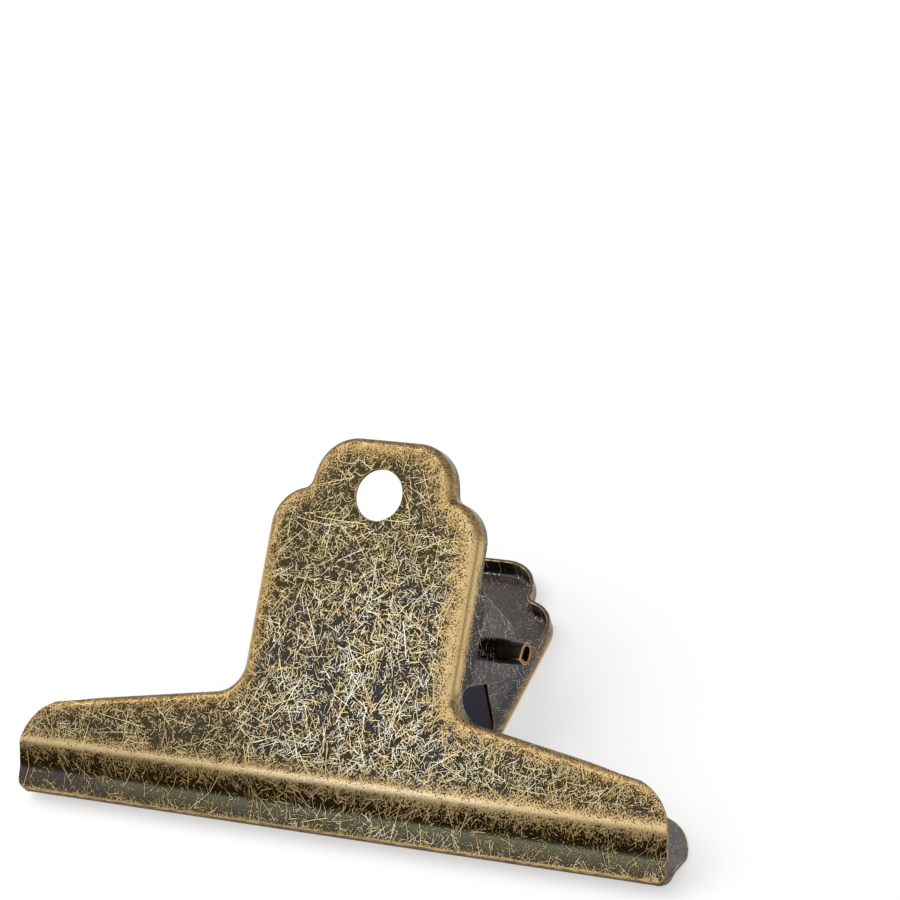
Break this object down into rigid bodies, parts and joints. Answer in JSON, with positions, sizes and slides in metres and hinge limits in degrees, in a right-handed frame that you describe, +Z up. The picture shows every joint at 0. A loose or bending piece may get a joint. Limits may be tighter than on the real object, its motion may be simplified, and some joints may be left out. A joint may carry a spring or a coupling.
{
  "type": "bulldog clip",
  "caption": "Large sprung paper clip with two flanged handle plates, broad winged jaws with a ridge and gripping lip, hanging holes and a hollow hinge pin, in scratched antique brass.",
  "frame": {"origin": "on the table under the middle of the clip, which lies on the flat outside of its rear plate", "axes": "+X along the jaw, +Y from the jaw towards the handles, +Z up from the rear plate to the front one"},
  "size_m": [0.145, 0.0792, 0.0518],
  "materials": {
    "antique_brass": "steel plated in antique brass, darkened, scratched back to the brass and lacquered",
    "pin_steel": "steel tube darkened nearly black, with rubbed edges",
    "spring_steel": "drawn spring wire, dark and lightly oiled"
  },
  "bodies": {
    "rear": {"rear_jaw": "antique_brass", "hinge_pin": "pin_steel", "torsion_spring": "spring_steel"},
    "front": {"front_jaw": "antique_brass"}
  },
  "joints": [
    {"name": "jaw_hinge", "type": "hinge", "parent": "rear", "child": "front", "pos_m": [0, 0.00227, 0.01688], "axis": [-1, 0, 0], "range_deg": [0, 72], "stiffness_Nm_per_rad": 1.15, "springref_deg": -45.84, "deforming": ["torsion_spring"]}
  ]
}
